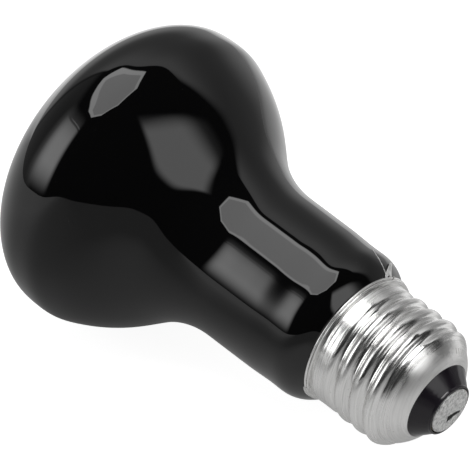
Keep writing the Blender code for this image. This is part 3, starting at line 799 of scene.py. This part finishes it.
def makeInsulator(cap, body):
    insulator = turnOutline("pressedInsulator", insulatorOutline(cap, body), body["steps"], True)
    material = insulatorMaterial(body, insulatorFinish)
    finishPiece(insulator, "insulator", material, body["sharpAngle"])


makeInsulator(screwCap, pressedInsulator)

# centre contact: a drop of solder, pressed flat and scratched. The mark's middle line is
# x = flat + slope * y + bend * y * y, and its half width goes from the first to the second
contactDrop = {
    "radius": 4.72, "aside": 0.06, "asideFade": 2.0, "thickness": 0.55, "edge": 0.4, "edgeCorners": 8,
    "plugRadius": 0.5, "plugTop": 1.45, "steps": 120, "rings": 26, "sharpAngle": 50,
    "lump": 0.035, "lumpScale": 0.7, "lumpSlice": 3.0, "lumpInside": 0.4, "lumpFade": 0.8,
    "markEnds": (-0.45, 3.25), "markHalf": (0.75, 0.22), "markLine": (-1.734, 0.266, -0.060),
    "markDepth": 0.05, "dentInside": 0.1, "dentFade": 0.25,
    "markStartFade": (-0.1, 0.15), "markEndFade": (-0.15, 0.1), "markSideFade": (-0.08, 0.1),
}
solderFinish = {
    "mottle": (1.2, 5, 0.7, 0.4), "mottleEnds": (0.38, 0.58),
    "colours": ((0.56, 0.56, 0.555, 1), (0.95, 0.95, 0.94, 1)), "metallic": 0.6,
    "roughSpread": (0.3, 0.7, 0.52, 0.34), "mottleDepth": 0.10,
    # scratches: (degrees, where the noise starts to show, shade)
    "scratches": ((38, 0.61, 0.75), (-25, 0.63, 0.6), (80, 0.64, 0.5)), "scratchStretch": (0.35, 3.2, 1.0),
    "scratchNoise": (1.0, 2, 0.6), "scratchSoft": 0.06, "scratchColour": (0.16, 0.16, 0.16, 1),
    "markColour": (0.03, 0.028, 0.027, 1), "markRough": 0.3,
    "markNoise": (2.5, 2, 0.55), "markRagged": (0.3, 0.7, -0.1, 0.1),
}


def markOnContact(tree, position, drop, finish):
    # the iron's mark, a narrow crescent that is thick at its foot
    x, y, _ = splitPlace(tree, position)
    start, end = drop["markEnds"]
    flat, slope, bend = drop["markLine"]
    line = calc(tree, "MULTIPLY_ADD", y, calc(tree, "MULTIPLY_ADD", y, bend, slope), flat)
    half = spread(tree, y, start, end, *drop["markHalf"])
    off = calc(tree, "SUBTRACT", calc(tree, "ABSOLUTE", calc(tree, "SUBTRACT", x, line)), half)
    ragged = spread(tree, noiseAt(tree, position, *finish["markNoise"]), *finish["markRagged"])
    share = spread(tree, calc(tree, "ADD", off, ragged), *drop["markSideFade"], 1, 0)
    first, full = drop["markStartFade"]
    share = calc(tree, "MULTIPLY", share, spread(tree, y, start + first, start + full, 0, 1))
    full, last = drop["markEndFade"]
    return calc(tree, "MULTIPLY", share, spread(tree, y, end + full, end + last, 1, 0))


def solderMaterial(name, finish, drop=None):
    # the fin is plain mottled solder, and the drop has its scratches and the mark as well
    material, tree, shader = newMaterial(name)
    position = lampPosition(tree)
    mottle = noiseAt(tree, position, *finish["mottle"])
    colour = blendColour(tree, spread(tree, mottle, *finish["mottleEnds"]), *finish["colours"])
    rough = spread(tree, mottle, *finish["roughSpread"])
    if drop:
        for degrees, low, shade in finish["scratches"]:
            place = turnedPlace(tree, position, degrees, finish["scratchStretch"])
            scratch = noiseAt(tree, place, *finish["scratchNoise"])
            scratch = spread(tree, scratch, low, low + finish["scratchSoft"], 0.0, shade)
            colour = blendColour(tree, scratch, colour, finish["scratchColour"])
        mark = markOnContact(tree, position, drop, finish)
        colour = blendColour(tree, mark, colour, finish["markColour"])
        rough = calc(tree, "MULTIPLY_ADD", mark, finish["markRough"], rough)
    put(tree, shader.inputs["Base Color"], colour)
    shader.inputs["Metallic"].default_value = finish["metallic"]
    put(tree, shader.inputs["Roughness"], rough)
    put(tree, shader.inputs["Normal"], bumpFrom(tree, mottle, finish["mottleDepth"]))
    return material


def contactSink(drop, x, y):
    # the face is lumpy and a little hollow, and dented along the mark
    start, end = drop["markEnds"]
    flat, slope, bend = drop["markLine"]
    first, last = drop["markHalf"]
    flatRadius = drop["radius"] - drop["edge"]
    share = 1 - smoothRise(math.hypot(x, y), flatRadius - drop["lumpInside"], drop["lumpFade"])
    lump = noise.noise(Vector((x, y, drop["lumpSlice"])) * drop["lumpScale"])
    sink = drop["lump"] * (1 + lump) * share
    if start < y < end:
        half = first + (last - first) * (y - start) / (end - start)
        away = abs(x - flat - slope * y - bend * y * y)
        sink += drop["markDepth"] * (1 - smoothRise(away, half - drop["dentInside"], drop["dentFade"]))
    return sink


def makeContact(drop):
    edge = (drop["radius"] - drop["edge"], drop["edge"])
    outline = [(0.0, 0.0)] + [(edge[0] * ring / drop["rings"], 0.0) for ring in range(1, drop["rings"])]
    outline += arcPoints(edge, drop["edge"], -90, 0, drop["edgeCorners"])
    outline += [(drop["radius"], drop["thickness"]), (drop["plugRadius"], drop["thickness"])]
    outline += [(drop["plugRadius"], drop["plugTop"]), (0.0, drop["plugTop"])]
    contact = turnOutline("contactDrop", outline, drop["steps"])
    for vert in contact.data.vertices:
        x, y, z = vert.co / mm
        if z < drop["edge"]:
            vert.co.z += contactSink(drop, x, y) * mm
        # the drop sits a little to one side of its plug
        vert.co.y += drop["aside"] * mm * smoothRise(math.hypot(x, y), drop["plugRadius"], drop["asideFade"])
    material = solderMaterial("scratchedSolder", solderFinish, drop)
    finishPiece(contact, "contact_solder", material, drop["sharpAngle"])


makeContact(contactDrop)

# the side contact: a thin fin of solder, drawn up from the rim and holed at its foot, and
# the fine end of the lead, both as (x, y, height) points
sideFin = {
    "outline": [
        (12.85, 4.02, 23.84), (13.09, 4.62, 24.40), (13.21, 5.58, 24.90), (13.21, 6.78, 25.55),
        (13.01, 8.06, 26.29), (12.88, 8.58, 26.62), (12.30, 9.58, 26.90), (12.46, 8.81, 26.45),
        (12.51, 7.72, 25.51), (12.37, 6.76, 24.63), (12.19, 6.00, 23.84), (12.37, 5.57, 23.84),
        (12.53, 5.74, 24.18), (12.75, 5.64, 24.38), (12.79, 5.12, 24.21), (12.68, 4.66, 23.84),
    ],
    "thickness": 0.22, "edge": 0.06, "edgeSegments": 2, "sharpAngle": 60,
    "hair": [
        (14.15, 7.13, 30.10), (14.38, 6.60, 29.28), (14.45, 6.30, 28.70), (14.34, 5.98, 27.69),
        (14.03, 5.75, 26.73), (13.62, 5.54, 25.91), (13.12, 5.40, 25.10), (12.98, 4.95, 24.55),
    ],
    "hairRadius": 0.07, "hairOrder": 4, "hairRoundness": 2,
}


def addHair(fin):
    # the end of the fine lead lies up the glass
    data = bpy.data.curves.new("hair", "CURVE")
    data.dimensions = "3D"
    line = data.splines.new("NURBS")
    line.points.add(len(fin["hair"]) - 1)
    for point, place in zip(line.points, fin["hair"]):
        point.co = (*(Vector(place) * mm), 1)
    line.use_endpoint_u = True
    line.order_u = fin["hairOrder"]
    data.bevel_depth = fin["hairRadius"] * mm
    data.bevel_resolution = fin["hairRoundness"]
    data.use_fill_caps = True
    hair = bpy.data.objects.new("hair", data)
    bpy.context.scene.collection.objects.link(hair)
    selectOnly(hair)
    bpy.ops.object.convert(target="MESH")


def makeSideFin(fin):
    obj = startPiece("sideFin")
    drawLine(fin["outline"])
    bpy.ops.mesh.edge_face_add()
    bpy.ops.mesh.select_all(action="SELECT")
    bpy.ops.mesh.quads_convert_to_tris(ngon_method="CLIP")
    bpy.ops.mesh.normals_make_consistent(inside=False)
    bpy.ops.object.mode_set(mode="OBJECT")
    thick = obj.modifiers.new("thick", "SOLIDIFY")
    thick.thickness = fin["thickness"] * mm
    thick.offset = 0
    edge = obj.modifiers.new("edge", "BEVEL")
    edge.width = fin["edge"] * mm
    edge.segments = fin["edgeSegments"]
    for modifier in ("thick", "edge"):
        bpy.ops.object.modifier_apply(modifier=modifier)
    # the hair is still selected when it has been made, and joins the fin
    addHair(fin)
    obj.select_set(True)
    bpy.context.view_layer.objects.active = obj
    bpy.ops.object.join()
    finishPiece(obj, "side_solder", solderMaterial("finSolder", solderFinish), fin["sharpAngle"])


makeSideFin(sideFin)

# finishes for the CAD nodes that stay as they are
brass = {
    "stretch": (1.0, 1.0, 1.0), "grain": (0.7, 4, 0.6),
    "colours": ((0.72, 0.50, 0.20, 1), (0.84, 0.66, 0.34, 1)),
    "roughSpread": (0.3, 0.7, 0.22, 0.42), "depth": 0.03,
}
wire = {
    "stretch": (6.0, 6.0, 0.5), "grain": (1.0, 3, 0.6),
    "colours": ((0.60, 0.59, 0.57, 1), (0.78, 0.77, 0.75, 1)),
    "roughSpread": (0.3, 0.7, 0.18, 0.36), "depth": 0.01,
}
cement = {
    "grain": (2.4, 4, 0.7), "cloud": (0.3, 2, 0.5),
    "colours": ((0.52, 0.47, 0.38, 1), (0.66, 0.61, 0.52, 1)),
    "grainColour": (0.30, 0.26, 0.20, 1), "grainSpread": (0.58, 0.66, 0, 0.6),
    "roughSpread": (0.3, 0.7, 0.75, 0.95), "depth": 0.15,
}


def metalMaterial(name, finish):
    # colour, polish and relief all follow one grain, which is stretched along a drawn wire
    material, tree, shader = newMaterial(name)
    place = turnedPlace(tree, lampPosition(tree), 0, finish["stretch"])
    grain = noiseAt(tree, place, *finish["grain"])
    put(tree, shader.inputs["Base Color"], blendColour(tree, grain, *finish["colours"]))
    shader.inputs["Metallic"].default_value = 1.0
    put(tree, shader.inputs["Roughness"], spread(tree, grain, *finish["roughSpread"]))
    put(tree, shader.inputs["Normal"], bumpFrom(tree, grain, finish["depth"]))
    return material


def cementMaterial(name, finish):
    material, tree, shader = newMaterial(name)
    position = lampPosition(tree)
    grain = noiseAt(tree, position, *finish["grain"])
    cloud = noiseAt(tree, position, *finish["cloud"])
    colour = blendColour(tree, cloud, *finish["colours"])
    grains = spread(tree, grain, *finish["grainSpread"])
    put(tree, shader.inputs["Base Color"], blendColour(tree, grains, colour, finish["grainColour"]))
    put(tree, shader.inputs["Roughness"], spread(tree, grain, *finish["roughSpread"]))
    put(tree, shader.inputs["Normal"], bumpFrom(tree, grain, finish["depth"]))
    return material


finishes = {
    "contact_eyelet": metalMaterial("eyeletBrass", brass),
    "basing_cement": cementMaterial("basingCement", cement),
    "centre_lead": metalMaterial("tinnedWire", wire),
    "side_lead": metalMaterial("tinnedSideWire", wire),
}
for name, material in finishes.items():
    node = frame["nodes"][name]
    node.data.materials.clear()
    node.data.materials.append(material)
    print(name, "given", material.name)
